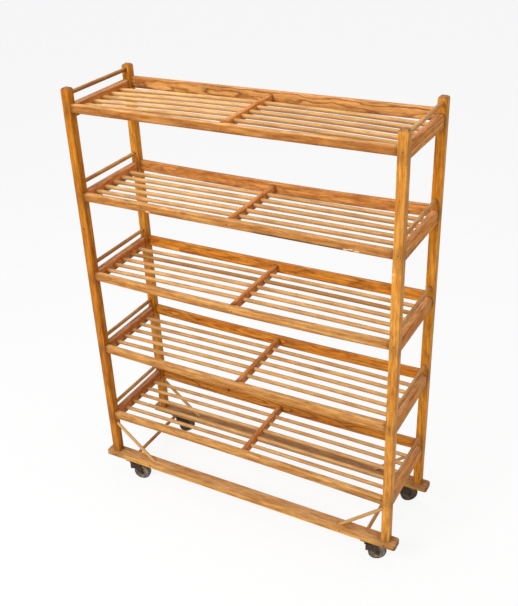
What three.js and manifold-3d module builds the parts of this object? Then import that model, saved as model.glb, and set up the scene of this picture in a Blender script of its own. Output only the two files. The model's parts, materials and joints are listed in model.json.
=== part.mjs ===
// A bakery bread rack: four square posts on two long sills carry five open shelves of round slats.
// Each shelf is a tenoned frame with a middle divider, and a thin guard rod closes each of its ends.
// Diagonal braces and two stretchers stiffen the foot, which rolls on four swivel casters.
// Millimetres, +Z up. The front looks towards -Y. The origin is on the floor under the middle.

import * as THREE from "three";
import { mergeVertices } from "three/addons/utils/BufferGeometryUtils.js";
import Module from "manifold-3d";

const wasm = await Module();
wasm.setup();

// Fits
const jointGap = 0.3; // all round each tenon and dowel, and at each shoulder
const runningGap = 0.4; // between the wheel hub and the fork legs
const cutPast = 2; // how far a cutter runs out through an open face

// Corner posts
const postSize = 34;
const postSpanX = 1295; // between post centres, along the shelves
const postSpanY = 375; // between post centres, front to back
const postHeight = 1665; // from the sill to the top
const postRise = 92; // above the underside of the top front rail
const postEdgeRadius = 2.5;
const postTopRound = 12; // how far down each face the top is rounded
const postTenonSize = 20;
const postTenonLength = 14;

// Shelves
const shelfCount = 5;
const lowestShelf = 181; // underside of the lowest front rail, above the sill
const frontRailDepth = 24;
const frontRailHeight = 30;
const backRailDepth = 18;
const backRailHeight = 45;
const backRailDrop = 5; // underside below that of the front rail
const sideRailThickness = 26;
const sideRailHeight = 49;
const sideRailDrop = 16; // underside below that of the front rail
const railTopRadius = 6;
const tenonThickness = 10;
const tenonWall = 2; // of wood left between the two tenons that meet in a post
const tenonShoulder = 5; // above and below each rail tenon

// Slats and the divider that they pass through
const slatDiameter = 16;
const slatCount = 5;
const slatMargin = 77.5; // outermost slat from the post centres
const slatRise = 11; // slat centre above the underside of the front rail
const slatSocket = 12; // how far a slat enters a side rail
const dividerThickness = 20;
const dividerHeight = 34;
const dividerDrop = 7; // underside below that of the front rail
const dividerTopRadius = 8;
const dividerTenonThickness = 8;
const dividerTenonRise = 4; // underside of the tenon above that of the front rail
const dividerTenonHeight = 18;
const dividerTenonLength = 7;

// Guard rods
const rodDiameter = 16;
const rodRise = 68; // rod centre above the underside of the front rail
const rodSocket = 12;

// Sills
const sillWidth = 60;
const sillThickness = 22;
const sillOverhang = 46.5; // past each post centre
const sillCornerRadius = 11;
const sillEdgeRound = 3;

// Braces and stretchers
const braceDiameter = 14;
const braceDrop = 29; // where its axis meets the post, below the lowest front rail
const braceReach = 177; // where its axis meets the sill, from the face of the post
const braceSocket = 9; // measured along its axis
const stretcherDiameter = 15;
const stretcherInset = 89; // from the post centre
const stretcherSocket = 12;

// Casters
const leftCasterInset = 92; // kingpin from the post centre
const rightCasterInset = 64;
const plateLength = 76;
const plateWidth = 58;
const plateThickness = 3;
const plateCornerRadius = 8;
const screwHoleDiameter = 6;
const screwHoleInset = 9; // from the plate's edges
const raceDiameter = 54;
const raceHeight = 5;
const kingpinDiameter = 12;
const kingpinHeadDiameter = 19;
const kingpinHeadHeight = 3;
const crownDiameter = 60;
const crownThickness = 4;
const crownClearance = 15.7; // between the tread and the crown
const trail = 27; // wheel axle behind the kingpin
const legThickness = 3;
const legFore = 23; // upright leading edge, ahead of the kingpin
const legRear = 20; // top of the trailing edge, behind the kingpin
const legSkirt = 34; // how far the leading edge runs down from the crown
const legSkirtLength = 20; // how far the skirt's lower edge runs back
const legEndRadius = 10;
const axleDiameter = 9;
const axleHeadDiameter = 15;
const axleHeadHeight = 3;
const wheelDiameter = 75;
const wheelWidth = 26;
const wheelShoulder = 4;
const rimDepth = 9; // of the tyre, from the tread inwards
const webThickness = 14;
const hubDiameter = 24;
const hubLength = 28;
const webFillet = 1.5;

// Facets of the round pieces
const dowelSides = 10;
const forkSides = 16;
const wheelSides = 20;
const holeSides = 6;

// Sizes that follow from those above
const wheelRadius = wheelDiameter / 2;
const crownBottom = wheelDiameter + crownClearance;
const crownTop = crownBottom + crownThickness;
const raceBottom = crownTop + jointGap;
const casterHeight = raceBottom + raceHeight + plateThickness;
const sillBottom = casterHeight + jointGap;
const sillTop = sillBottom + sillThickness;
const postFoot = sillTop + jointGap;
const innerFaceX = postSpanX / 2 - postSize / 2;
const innerFaceY = postSpanY / 2 - postSize / 2;
const shelfPitch = (postHeight - postRise - lowestShelf) / (shelfCount - 1);
const tenonLength = (postSize - tenonThickness) / 2 - tenonWall;
const slatPitch = (postSpanY - 2 * slatMargin) / (slatCount - 1);
const braceRise = lowestShelf - braceDrop;
const railTenonHeight = {
  front: frontRailHeight - 2 * tenonShoulder,
  back: backRailHeight - 2 * tenonShoulder,
  side: sideRailHeight - 2 * tenonShoulder,
};
const shelfLevels = Array.from({ length: shelfCount }, (_, i) => lowestShelf + i * shelfPitch);
const slatOffsets = Array.from({ length: slatCount }, (_, i) => (i - (slatCount - 1) / 2) * slatPitch);

// Finishes
const finish = (color, roughness, metalness = 0) => ({ color, roughness, metalness });
const postWood = finish(0xc88638, 0.45);
const frontRailWood = finish(0xc68a45, 0.45);
const backRailWood = finish(0xb9743a, 0.45);
const sideRailWood = finish(0xa8683c, 0.5);
const slatWood = finish(0xdcae6c, 0.45);
const rodWood = finish(0x9c622f, 0.5);
const sillWood = finish(0xb97d48, 0.55);
const casterSteel = finish(0x332d28, 0.45, 0.8);
const wheelRubber = finish(0x4a443f, 0.7);

// Solids and their booleans

function toSolid(geometry) {
  const bare = geometry.clone();
  bare.deleteAttribute("normal");
  bare.deleteAttribute("uv");
  const merged = mergeVertices(bare, 1e-4);
  const mesh = new wasm.Mesh({
    numProp: 3,
    vertProperties: new Float32Array(merged.attributes.position.array),
    triVerts: new Uint32Array(merged.index.array),
  });
  return new wasm.Manifold(mesh);
}

function toGeometry(solid) {
  const mesh = solid.getMesh();
  const geometry = new THREE.BufferGeometry();
  geometry.setAttribute("position", new THREE.BufferAttribute(mesh.vertProperties, 3));
  geometry.setIndex(new THREE.BufferAttribute(mesh.triVerts, 1));
  const flat = geometry.toNonIndexed();
  flat.computeVertexNormals();
  return flat;
}

const join = (first, ...rest) => rest.reduce((sum, solid) => sum.add(solid), first);
const cut = (first, ...rest) => rest.reduce((left, solid) => left.subtract(solid), first);

// Basic shapes

function block(sizeX, sizeY, sizeZ, x = 0, y = 0, z = 0) {
  return toSolid(new THREE.BoxGeometry(sizeX, sizeY, sizeZ).translate(x, y, z));
}

// A rectangle standing on y = 0, with its top corners rounded
function railSection(width, height, topRadius) {
  const half = width / 2;
  const section = new THREE.Shape();
  section.moveTo(-half, 0);
  section.lineTo(half, 0);
  section.absarc(half - topRadius, height - topRadius, topRadius, 0, Math.PI / 2);
  section.absarc(-half + topRadius, height - topRadius, topRadius, Math.PI / 2, Math.PI);
  return section;
}

function roundedRectangle(sizeX, sizeY, radius) {
  const shape = new THREE.Shape();
  const x = sizeX / 2 - radius;
  const y = sizeY / 2 - radius;
  shape.absarc(x, -y, radius, -Math.PI / 2, 0);
  shape.absarc(x, y, radius, 0, Math.PI / 2);
  shape.absarc(-x, y, radius, Math.PI / 2, Math.PI);
  shape.absarc(-x, -y, radius, Math.PI, 1.5 * Math.PI);
  return shape;
}

function extrude(section, depth, curveSegments = 1) {
  return new THREE.ExtrudeGeometry(section, { depth, curveSegments, bevelEnabled: false });
}

const along = {
  x: new THREE.Matrix4().makeBasis(
    new THREE.Vector3(0, 1, 0), new THREE.Vector3(0, 0, 1), new THREE.Vector3(1, 0, 0)),
  y: new THREE.Matrix4().makeBasis(
    new THREE.Vector3(1, 0, 0), new THREE.Vector3(0, 0, 1), new THREE.Vector3(0, -1, 0)),
};

// A bar of one section, centred on its length, lying along x or y
function bar(section, length, direction) {
  const geometry = extrude(section, length).translate(0, 0, -length / 2);
  return toSolid(geometry.applyMatrix4(along[direction]));
}

// A round bar, centred on its length, with a flat side up
function dowel(diameter, length, direction) {
  const geometry = new THREE.CylinderGeometry(diameter / 2, diameter / 2, length, dowelSides);
  geometry.rotateY(Math.PI / dowelSides);
  if (direction === "x") geometry.rotateZ(-Math.PI / 2);
  if (direction === "z") geometry.rotateX(Math.PI / 2);
  return toSolid(geometry);
}

// A solid of revolution about z, from pairs of radius and height
function turned(profile, sides) {
  const points = profile.map(([radius, height]) => new THREE.Vector2(radius, height));
  return toSolid(new THREE.LatheGeometry(points, sides).rotateX(Math.PI / 2));
}

function pieceMesh(name, solid, look) {
  const mesh = new THREE.Mesh(toGeometry(solid), new THREE.MeshStandardMaterial(look));
  mesh.name = name;
  return mesh;
}

// Rails: a rounded bar with a stub tenon at each end

function tenonedRail(section, length, tenonHeight, height, direction) {
  const body = bar(section, length, direction);
  const reach = length + 2 * (tenonLength + jointGap);
  const sizeX = direction === "x" ? reach : tenonThickness;
  const sizeY = direction === "x" ? tenonThickness : reach;
  return join(body, block(sizeX, sizeY, tenonHeight, 0, 0, height / 2));
}

function dividerMortise(z, faceY, intoY) {
  const depth = dividerTenonLength + jointGap + cutPast;
  const y = faceY + intoY * (depth / 2 - cutPast);
  return block(dividerTenonThickness + 2 * jointGap, depth, dividerTenonHeight + 2 * jointGap, 0, y, z);
}

const railLength = 2 * innerFaceX - 2 * jointGap;
const sideRailLength = 2 * innerFaceY - 2 * jointGap;
const dividerTenonMiddle = dividerTenonRise + dividerTenonHeight / 2;

function frontRail() {
  const section = railSection(frontRailDepth, frontRailHeight, railTopRadius);
  const rail = tenonedRail(section, railLength, railTenonHeight.front, frontRailHeight, "x");
  return cut(rail, dividerMortise(dividerTenonMiddle, frontRailDepth / 2, -1));
}

function backRail() {
  const section = railSection(backRailDepth, backRailHeight, railTopRadius);
  const rail = tenonedRail(section, railLength, railTenonHeight.back, backRailHeight, "x");
  return cut(rail, dividerMortise(dividerTenonMiddle + backRailDrop, -backRailDepth / 2, 1));
}

const slatLength = postSpanX - sideRailThickness + 2 * slatSocket;

function sideRail(side) {
  const section = railSection(sideRailThickness, sideRailHeight, railTopRadius);
  const rail = tenonedRail(section, sideRailLength, railTenonHeight.side, sideRailHeight, "y");
  const socketWidth = slatDiameter + 2 * jointGap;
  const sockets = slatOffsets.map((y) =>
    dowel(socketWidth, slatLength + 2 * jointGap, "x")
      .translate(-side * postSpanX / 2, y, slatRise + sideRailDrop));
  return cut(rail, ...sockets);
}

// Slats glued through their divider, which is tenoned into the front and back rails
function slatGrid() {
  const frontFace = -postSpanY / 2 + frontRailDepth / 2 + jointGap;
  const backFace = postSpanY / 2 - backRailDepth / 2 - jointGap;
  const length = backFace - frontFace;
  const middle = (frontFace + backFace) / 2;
  const section = railSection(dividerThickness, dividerHeight, dividerTopRadius);
  const body = bar(section, length, "y").translate(0, middle, -dividerDrop);
  const tenonReach = length + 2 * dividerTenonLength;
  const tenon = block(dividerTenonThickness, tenonReach, dividerTenonHeight, 0, middle, dividerTenonMiddle);
  const slats = slatOffsets.map((y) => dowel(slatDiameter, slatLength, "x").translate(0, y, slatRise));
  return join(body, tenon, ...slats);
}

// Guard rods

const rodLength = 2 * innerFaceY + 2 * rodSocket;
const guardRod = (clearance = 0) => dowel(rodDiameter + 2 * clearance, rodLength + 2 * clearance, "y");

// Braces: each axis runs from the face of a post down to the top of a sill

const braceRun = Math.hypot(braceReach, braceRise);
const braceSlope = Math.atan2(braceRise, braceReach);
const braceLength = braceRun + 2 * braceSocket;
const braceMiddleX = innerFaceX - braceReach / 2;
const braceMiddleZ = sillTop + braceRise / 2;

const brace = (clearance = 0) => dowel(braceDiameter + 2 * clearance, braceLength + 2 * clearance, "x");

// The room that a brace needs, in rack coordinates, for the post and the sill that hold it
function braceCutter(sideX) {
  const tilt = new THREE.Matrix4().makeRotationY(-sideX * braceSlope);
  const place = new THREE.Matrix4().makeTranslation(sideX * braceMiddleX, 0, braceMiddleZ);
  return brace(jointGap).transform(place.multiply(tilt).elements);
}

// Stretchers

const stretcherLength = postSpanY - sillWidth + 2 * stretcherSocket;
const stretcher = (clearance = 0) =>
  dowel(stretcherDiameter + 2 * clearance, stretcherLength + 2 * clearance, "y");
const stretcherX = postSpanX / 2 - stretcherInset;

// Posts: rounded on top, tenoned into the sill, mortised for the rails and bored for rods and braces

function crownedSlab(direction) {
  const half = postSize / 2;
  const outline = new THREE.Shape();
  outline.moveTo(-half, -cutPast);
  outline.lineTo(half, -cutPast);
  outline.lineTo(half, postHeight - postTopRound);
  outline.quadraticCurveTo(half, postHeight - 0.15 * postTopRound, 0, postHeight);
  outline.quadraticCurveTo(-half, postHeight - 0.15 * postTopRound, -half, postHeight - postTopRound);
  const slab = extrude(outline, 2 * postSize, 3).translate(0, 0, -postSize);
  return toSolid(slab.applyMatrix4(along[direction]));
}

function railMortise(sideX, tenonHeight, middleZ) {
  const depth = tenonLength + jointGap + cutPast;
  const x = -sideX * (postSize / 2 + cutPast - depth / 2);
  return block(depth, tenonThickness + 2 * jointGap, tenonHeight + 2 * jointGap, x, 0, middleZ);
}

function sideRailMortise(sideY, middleZ) {
  const depth = tenonLength + jointGap + cutPast;
  const y = -sideY * (postSize / 2 + cutPast - depth / 2);
  return block(tenonThickness + 2 * jointGap, depth, railTenonHeight.side + 2 * jointGap, 0, y, middleZ);
}

function post(sideX, sideY) {
  const plan = extrude(roundedRectangle(postSize, postSize, postEdgeRadius), postHeight);
  const shaft = toSolid(plan).intersect(crownedSlab("x")).intersect(crownedSlab("y"));
  const tenon = block(postTenonSize, postTenonSize, postTenonLength + cutPast,
    0, 0, (cutPast - postTenonLength) / 2);
  const isFront = sideY < 0;
  const height = isFront ? frontRailHeight : backRailHeight;
  const drop = isFront ? 0 : backRailDrop;
  const tenonHeight = isFront ? railTenonHeight.front : railTenonHeight.back;
  const cutters = [];
  for (const level of shelfLevels) {
    const base = level - jointGap;
    cutters.push(railMortise(sideX, tenonHeight, base - drop + height / 2));
    cutters.push(sideRailMortise(sideY, base - sideRailDrop + sideRailHeight / 2));
    cutters.push(guardRod(jointGap).translate(0, -sideY * postSpanY / 2, base + rodRise));
  }
  cutters.push(braceCutter(sideX).translate(-sideX * postSpanX / 2, 0, -postFoot));
  return cut(join(shaft, tenon), ...cutters);
}

// Sills: long boards with rounded corners and softened top edges

function sill(sideY) {
  const length = postSpanX + 2 * sillOverhang;
  const plan = extrude(roundedRectangle(length, sillWidth, sillCornerRadius), sillThickness, 2);
  const section = railSection(sillWidth, sillThickness, sillEdgeRound);
  const board = toSolid(plan).intersect(bar(section, length, "x"));
  const cutters = [];
  for (const sideX of [-1, 1]) {
    cutters.push(block(postTenonSize + 2 * jointGap, postTenonSize + 2 * jointGap, postTenonLength + cutPast,
      sideX * postSpanX / 2, 0, sillThickness + (cutPast - postTenonLength) / 2));
    cutters.push(braceCutter(sideX).translate(0, 0, -sillBottom));
    cutters.push(stretcher(jointGap)
      .translate(sideX * stretcherX, -sideY * postSpanY / 2, sillThickness / 2));
  }
  return cut(board, ...cutters);
}

// Casters, each about its own kingpin with the wheel trailing towards +x

const legInside = hubLength / 2 + runningGap;

// The kingpin's countersunk head and shank, or with a clearance the bore that they turn in
function kingpin(bottom, top, clearance) {
  const shank = kingpinDiameter / 2 + clearance;
  const neck = casterHeight - jointGap - kingpinHeadHeight;
  const slope = (kingpinHeadDiameter - kingpinDiameter) / 2 / kingpinHeadHeight;
  const head = shank + slope * (top - neck);
  return turned([[0, bottom], [shank, bottom], [shank, neck], [head, top], [0, top]], forkSides);
}

function casterPlate() {
  const outline = roundedRectangle(plateLength, plateWidth, plateCornerRadius);
  const plate = toSolid(extrude(outline, plateThickness)).translate(0, 0, casterHeight - plateThickness);
  const raceRadius = raceDiameter / 2;
  const raceTop = casterHeight - plateThickness / 2;
  const race = turned([
    [0, raceBottom],
    [raceRadius - raceHeight / 2, raceBottom],
    [raceRadius, raceBottom + raceHeight / 2],
    [raceRadius, raceTop],
    [0, raceTop],
  ], forkSides);
  const holes = [];
  for (const sideX of [-1, 1]) {
    for (const sideY of [-1, 1]) {
      const x = sideX * (plateLength / 2 - screwHoleInset);
      const y = sideY * (plateWidth / 2 - screwHoleInset);
      const radius = screwHoleDiameter / 2;
      const hole = new THREE.CylinderGeometry(radius, radius, 3 * plateThickness, holeSides);
      holes.push(toSolid(hole.rotateX(Math.PI / 2).translate(x, y, casterHeight - plateThickness / 2)));
    }
  }
  return cut(join(plate, race), kingpin(raceBottom - cutPast, casterHeight + cutPast, jointGap), ...holes);
}

// Angle at which a line from a point touches a circle, seen from the circle's centre
function tangentAngle(point, centre, radius, turn) {
  const away = point.clone().sub(centre);
  return Math.atan2(away.y, away.x) + turn * Math.acos(radius / away.length());
}

function forkLeg(sideY) {
  const top = crownBottom + crownThickness / 2;
  const axle = new THREE.Vector2(trail, wheelRadius);
  const rear = new THREE.Vector2(legRear, top);
  const fore = new THREE.Vector2(-legFore, crownBottom - legSkirt);
  const notch = new THREE.Vector2(fore.x + legSkirtLength, fore.y);
  const outline = new THREE.Shape();
  outline.moveTo(rear.x, rear.y);
  outline.lineTo(fore.x, rear.y);
  outline.lineTo(fore.x, fore.y);
  outline.lineTo(notch.x, notch.y);
  outline.absarc(axle.x, axle.y, legEndRadius,
    tangentAngle(notch, axle, legEndRadius, 1), tangentAngle(rear, axle, legEndRadius, -1) + 2 * Math.PI);
  const leg = extrude(outline, legThickness, 3).rotateX(Math.PI / 2);
  return toSolid(leg).translate(0, sideY * (legInside + legThickness / 2) + legThickness / 2, 0);
}

function casterFork() {
  const crownRadius = crownDiameter / 2;
  const crownMiddle = crownBottom + crownThickness / 2;
  const crown = turned([
    [0, crownBottom],
    [crownRadius - crownThickness / 2, crownBottom],
    [crownRadius, crownMiddle],
    [crownRadius, crownTop],
    [0, crownTop],
  ], forkSides);
  const pin = kingpin(crownMiddle, casterHeight - jointGap, 0);
  const legMiddle = legInside + legThickness / 2;
  const axle = dowel(axleDiameter, 2 * legMiddle, "y").translate(trail, 0, wheelRadius);
  const headLength = legThickness / 2 + axleHeadHeight;
  const heads = [-1, 1].map((side) => dowel(axleHeadDiameter, headLength, "y")
    .translate(trail, side * (legMiddle + headLength / 2), wheelRadius));
  return join(crown, pin, forkLeg(-1), forkLeg(1), axle, ...heads);
}

// Tyre, web and hub in one turning about y
function casterWheel() {
  const bore = axleDiameter / 2 + jointGap;
  const hub = hubDiameter / 2;
  const rim = wheelRadius - rimDepth;
  const tread = wheelRadius / Math.cos(Math.PI / wheelSides); // its flats are what meets the floor
  const half = [
    [bore, hubLength / 2],
    [hub, hubLength / 2],
    [hub + webFillet, webThickness / 2],
    [rim - webFillet, webThickness / 2],
    [rim, wheelWidth / 2],
    [tread - wheelShoulder, wheelWidth / 2],
    [tread, wheelWidth / 2 - wheelShoulder],
  ];
  const mirrored = half.map(([radius, side]) => [radius, -side]).reverse();
  const profile = [...half, ...mirrored, half[0]].reverse();
  const points = profile.map(([radius, side]) => new THREE.Vector2(radius, side));
  return toSolid(new THREE.LatheGeometry(points, wheelSides, Math.PI / wheelSides));
}

// The rack

const rack = new THREE.Group();
const sideName = { "-1": "left", "1": "right" };
const endName = { "-1": "front", "1": "back" };

for (const sideY of [-1, 1]) {
  const board = pieceMesh(`sill_${endName[sideY]}`, sill(sideY), sillWood);
  board.position.set(0, sideY * postSpanY / 2, sillBottom);
  rack.add(board);
  for (const sideX of [-1, 1]) {
    const corner = `${endName[sideY]}_${sideName[sideX]}`;
    const upright = pieceMesh(`post_${corner}`, post(sideX, sideY), postWood);
    upright.position.set(sideX * postSpanX / 2, sideY * postSpanY / 2, postFoot);
    const strut = pieceMesh(`brace_${corner}`, brace(), slatWood);
    strut.position.set(sideX * braceMiddleX, sideY * postSpanY / 2, braceMiddleZ);
    strut.rotation.y = -sideX * braceSlope;
    rack.add(upright, strut);
  }
}

for (const sideX of [-1, 1]) {
  const tie = pieceMesh(`stretcher_${sideName[sideX]}`, stretcher(), rodWood);
  tie.position.set(sideX * stretcherX, 0, sillBottom + sillThickness / 2);
  rack.add(tie);
}

shelfLevels.forEach((level, index) => {
  const shelf = new THREE.Group();
  shelf.position.z = sillTop + level;
  const name = `shelf${index + 1}`;
  const front = pieceMesh(`${name}_front_rail`, frontRail(), frontRailWood);
  front.position.y = -postSpanY / 2;
  const back = pieceMesh(`${name}_back_rail`, backRail(), backRailWood);
  back.position.set(0, postSpanY / 2, -backRailDrop);
  const slats = pieceMesh(`${name}_slats`, slatGrid(), slatWood);
  shelf.add(front, back, slats);
  for (const sideX of [-1, 1]) {
    const rail = pieceMesh(`${name}_${sideName[sideX]}_rail`, sideRail(sideX), sideRailWood);
    rail.position.set(sideX * postSpanX / 2, 0, -sideRailDrop);
    const rod = pieceMesh(`${name}_${sideName[sideX]}_rod`, guardRod(), rodWood);
    rod.position.set(sideX * postSpanX / 2, 0, rodRise);
    shelf.add(rail, rod);
  }
  rack.add(shelf);
});

// How far each caster stands turned from trailing straight to the right
const casterTurns = {
  front_left: THREE.MathUtils.degToRad(15),
  front_right: THREE.MathUtils.degToRad(30),
  back_left: THREE.MathUtils.degToRad(42),
  back_right: THREE.MathUtils.degToRad(37),
};

for (const sideY of [-1, 1]) {
  for (const sideX of [-1, 1]) {
    const corner = `${endName[sideY]}_${sideName[sideX]}`;
    const inset = sideX < 0 ? leftCasterInset : rightCasterInset;
    const mount = new THREE.Group();
    mount.position.set(sideX * (postSpanX / 2 - inset), sideY * postSpanY / 2, 0);
    const swivel = new THREE.Group();
    swivel.rotation.z = casterTurns[corner];
    const wheel = pieceMesh(`caster_wheel_${corner}`, casterWheel(), wheelRubber);
    wheel.position.set(trail, 0, wheelRadius);
    swivel.add(pieceMesh(`caster_fork_${corner}`, casterFork(), casterSteel), wheel);
    mount.add(pieceMesh(`caster_plate_${corner}`, casterPlate(), casterSteel), swivel);
    rack.add(mount);
  }
}

export default rack;
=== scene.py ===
import json
import math
import random

import bmesh
import bpy
from mathutils import Matrix, Vector, noise


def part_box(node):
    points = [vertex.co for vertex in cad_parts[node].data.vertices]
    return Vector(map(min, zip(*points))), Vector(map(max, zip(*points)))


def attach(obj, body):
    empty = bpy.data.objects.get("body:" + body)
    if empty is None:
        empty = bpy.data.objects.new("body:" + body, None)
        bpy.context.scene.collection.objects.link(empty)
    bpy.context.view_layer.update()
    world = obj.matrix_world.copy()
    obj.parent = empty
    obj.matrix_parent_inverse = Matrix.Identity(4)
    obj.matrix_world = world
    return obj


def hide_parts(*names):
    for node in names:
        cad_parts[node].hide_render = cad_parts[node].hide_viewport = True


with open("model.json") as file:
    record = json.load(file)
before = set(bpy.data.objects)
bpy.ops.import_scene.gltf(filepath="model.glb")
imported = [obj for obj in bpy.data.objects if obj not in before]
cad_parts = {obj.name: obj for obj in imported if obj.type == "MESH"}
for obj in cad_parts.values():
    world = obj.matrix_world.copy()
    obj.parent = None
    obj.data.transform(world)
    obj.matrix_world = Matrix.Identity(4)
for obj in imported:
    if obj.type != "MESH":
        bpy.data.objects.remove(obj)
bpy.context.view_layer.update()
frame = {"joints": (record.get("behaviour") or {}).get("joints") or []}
shelfCount = 5
corners = ["front_left", "front_right", "back_left", "back_right"]
axisX = Vector((1, 0, 0))
axisY = Vector((0, 1, 0))
axisZ = Vector((0, 0, 1))
noise.seed_set(163)  # the same unevenness each run, and one that buries no small mark
print("frame loaded")


# mesh helpers

def boxBetween(low, high):
    bm = bmesh.new()
    bmesh.ops.create_cube(bm, size=1)
    bmesh.ops.scale(bm, vec=high - low, verts=bm.verts)
    bmesh.ops.translate(bm, vec=(low + high) / 2, verts=bm.verts)
    return bm


def roundEdges(bm, edges, radius, segments):
    bmesh.ops.bevel(bm, geom=edges, offset=radius, segments=segments, profile=0.5,
                    affect="EDGES", material=-1, clamp_overlap=True)


def edgesAlong(bm, axis, where=None):
    picked = []
    for edge in bm.edges:
        run = edge.verts[1].co - edge.verts[0].co
        middle = (edge.verts[0].co + edge.verts[1].co) / 2
        if abs(run.normalized().dot(axis)) > 0.999 and (where is None or where(middle)):
            picked.append(edge)
    return picked


def sharpEdges(bm, where=None):
    picked = []
    for edge in bm.edges:
        if edge.calc_face_angle(0) > 1 and (where is None or all(where(vert.co) for vert in edge.verts)):
            picked.append(edge)
    return picked


def cutAlong(bm, axis, cuts, shortest=0.1):  # gives a long piece cross cuts to bend at
    runs = [edge for edge in edgesAlong(bm, axis) if edge.calc_length() > shortest]
    bmesh.ops.subdivide_edges(bm, edges=runs, cuts=cuts, use_grid_fill=True)


def cutAt(bm, axis, places):  # cross cuts at given places along an axis
    for place in places:
        bmesh.ops.bisect_plane(bm, geom=list(bm.verts) + list(bm.edges) + list(bm.faces), dist=1e-6,
                               plane_co=axis * place, plane_no=axis)


def unevenly(bm, axis, amount, seed, waves=3.0):  # hand planed, never dead straight
    for vert in bm.verts:
        wander = noise.noise_vector(vert.co * waves + Vector((seed, seed * 0.37, 0)))
        vert.co += (wander - axis * wander.dot(axis)) * amount


def bowAt(bow, t):  # a parabola through the heights at t = -1, 0 and 1
    left, middle, right = bow
    return left * t * (t - 1) / 2 + middle * (1 - t * t) + right * t * (t + 1) / 2


def bend(bm, bow, axis, half):
    for vert in bm.verts:
        vert.co.z += bowAt(bow, vert.co.dot(axis) / half)


def roundBar(start, end, radius, sides=24, cuts=14, endRound=0.0008):
    run = end - start
    bm = bmesh.new()
    bmesh.ops.create_cone(bm, cap_ends=True, segments=sides, radius1=radius, radius2=radius, depth=run.length)
    rims = [edge for edge in bm.edges if abs(edge.verts[0].co.z - edge.verts[1].co.z) < 1e-6]
    roundEdges(bm, rims, endRound, 2)
    cutAlong(bm, axisZ, cuts)
    turn = axisZ.rotation_difference(run.normalized()).to_matrix()
    bmesh.ops.rotate(bm, cent=(0, 0, 0), matrix=turn, verts=bm.verts)
    bmesh.ops.translate(bm, vec=(start + end) / 2, verts=bm.verts)
    return bm


def turnedShape(profile, axis, steps, closed=False):  # profile points spun round an axis through the origin
    bm = bmesh.new()
    verts = [bm.verts.new(point) for point in profile]
    edges = [bm.edges.new(pair) for pair in zip(verts, verts[1:])]
    if closed:
        edges.append(bm.edges.new((verts[-1], verts[0])))
    bmesh.ops.spin(bm, geom=verts + edges, cent=(0, 0, 0), axis=axis, angle=2 * math.pi, steps=steps,
                   use_merge=True, use_duplicate=False)
    bmesh.ops.remove_doubles(bm, verts=bm.verts, dist=1e-6)
    bmesh.ops.recalc_face_normals(bm, faces=bm.faces)
    return bm


def addShape(bm, other):  # puts another shape into this one as it stands
    mesh = bpy.data.meshes.new("part")
    other.to_mesh(mesh)
    other.free()
    bm.from_mesh(mesh)
    bpy.data.meshes.remove(mesh)


def finishPiece(name, bm, material, body, nodes=(), smoothBelow=40):
    mesh = bpy.data.meshes.new(name)
    bm.to_mesh(mesh)
    bm.free()
    mesh.shade_smooth()
    mesh.set_sharp_from_angle(angle=math.radians(smoothBelow))
    piece = bpy.data.objects.new(name, mesh)
    bpy.context.scene.collection.objects.link(piece)
    mesh.materials.append(material)
    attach(piece, body)
    if nodes:
        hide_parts(*nodes)
    return piece


def nearness(value, places, reach):  # 1 at any of the places, falling to 0 at the reach
    gap = min(abs(value - place) for place in places)
    return max(0.0, 1 - gap / reach)


def layGrain(piece, axis, across, tone, seed, heart=(0.0, 0.0), lean=(0.0, 0.0), grimeAndShadeAt=None):
    mesh = piece.data  # each board carries its own place in the tree it was sawn from
    points = [vert.co.copy() for vert in mesh.vertices]
    middle = sum(points, Vector()) / len(points)
    third = axis.cross(across)
    along = random.Random(seed).uniform(-4, 4)
    places = []
    for point in points:
        local = point - middle
        u = local.dot(axis)
        places += [u + along, local.dot(across) + heart[0] + lean[0] * u, local.dot(third) + heart[1] + lean[1] * u]
    grimeAndShade = [grimeAndShadeAt(point) if grimeAndShadeAt else 0.0 for point in points]
    tones = [tone(point) if callable(tone) else tone for point in points]
    mesh.attributes.new("grain", "FLOAT_VECTOR", "POINT").data.foreach_set("vector", places)
    mesh.attributes.new("tone", "FLOAT", "POINT").data.foreach_set("value", tones)
    # the grime attribute holds dirt together with painted shade
    mesh.attributes.new("grime", "FLOAT", "POINT").data.foreach_set("value", grimeAndShade)


# oak

def addNode(tree, kind, **settings):
    node = tree.nodes.new(kind)
    for key, value in settings.items():
        setattr(node, key, value)
    return node


def setRamp(ramp, stops):
    elements = ramp.color_ramp.elements
    while len(elements) > len(stops):
        elements.remove(elements[-1])
    while len(elements) < len(stops):
        elements.new(1.0)
    for element, (place, grey) in zip(elements, stops):
        element.position = place
        element.color = (grey, grey, grey, 1)


def shaped(tree, source, stops):  # a value passed through a grey ramp
    ramp = addNode(tree, "ShaderNodeValToRGB")
    setRamp(ramp, stops)
    tree.links.new(source, ramp.inputs[0])
    return ramp.outputs[0]


def mixColors(tree, factor, first, second, blend="MIX"):
    mix = addNode(tree, "ShaderNodeMix", data_type="RGBA", blend_type=blend, clamp_factor=True)
    for socket, value in ((mix.inputs[0], factor), (mix.inputs[6], first), (mix.inputs[7], second)):
        if hasattr(value, "is_linked"):
            tree.links.new(value, socket)
        elif isinstance(value, (int, float)):
            socket.default_value = value
        else:
            socket.default_value = (*value, 1)
    return mix.outputs[2]


def calc(tree, operation, first, second=0.0, clamp=False):
    node = addNode(tree, "ShaderNodeMath", operation=operation, use_clamp=clamp)
    for socket, value in zip(node.inputs, (first, second)):
        if hasattr(value, "is_linked"):
            tree.links.new(value, socket)
        else:
            socket.default_value = value
    return node.outputs[0]


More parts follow.
